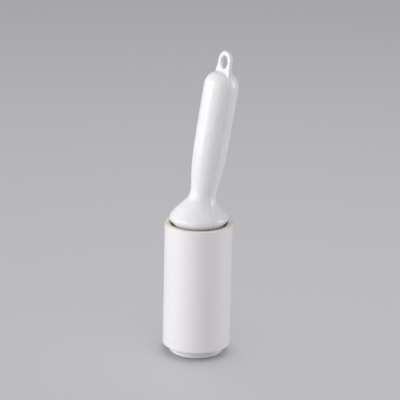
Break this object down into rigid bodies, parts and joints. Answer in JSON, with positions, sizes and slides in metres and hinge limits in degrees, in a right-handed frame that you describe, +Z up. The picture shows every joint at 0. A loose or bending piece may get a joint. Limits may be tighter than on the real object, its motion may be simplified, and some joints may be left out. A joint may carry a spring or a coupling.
{
  "type": "lint roller",
  "caption": "Hand-held lint roller with a leaning handle, hanging loop, free-turning drum and a sleeve refill of adhesive paper, standing on its end cap.",
  "frame": {"origin": "centre of the end cap's flat underside, on the axle's axis", "axes": "+Z up along the axle, handle and loop at the top; the handle leans towards +X and the loop lies along Y"},
  "size_m": [0.0579, 0.0539, 0.2438],
  "materials": {
    "gloss_white": "glossy moulded white plastic",
    "drum_white": "moulded white plastic",
    "acetal": "natural acetal",
    "steel": "drawn bright steel",
    "spring_steel": "dark spring steel",
    "kraft": "spiral-wound kraft board",
    "wound_paper": "edges of wound coated paper",
    "sheet_paper": "smooth adhesive-coated paper",
    "tab_paper": "plain release paper"
  },
  "bodies": {
    "handle": {"handle_front_shell": "gloss_white", "handle_back_shell": "gloss_white", "bell_plug": "drum_white", "axle_rod": "steel", "axle_pin": "steel", "upper_washer": "steel", "lower_washer": "steel", "wave_washer": "spring_steel", "axle_clip": "spring_steel"},
    "drum": {"drum_sleeve": "drum_white", "upper_hub": "drum_white", "lower_hub": "drum_white", "upper_bush": "acetal", "lower_bush": "acetal", "axle_spacer": "acetal", "end_cap": "gloss_white"},
    "refill": {"core_tube": "kraft", "tape_pack": "wound_paper", "outer_sheet": "sheet_paper", "sheet_tab": "tab_paper"}
  },
  "joints": [
    {"name": "drum_spin", "type": "hinge", "parent": "handle", "child": "drum", "pos_m": [0, 0, 0.05], "axis": [0, 0, 1], "continuous": true},
    {"name": "refill_slide", "type": "slide", "parent": "drum", "child": "refill", "axis": [0, 0, -1], "range_m": [0, 0.11]}
  ]
}
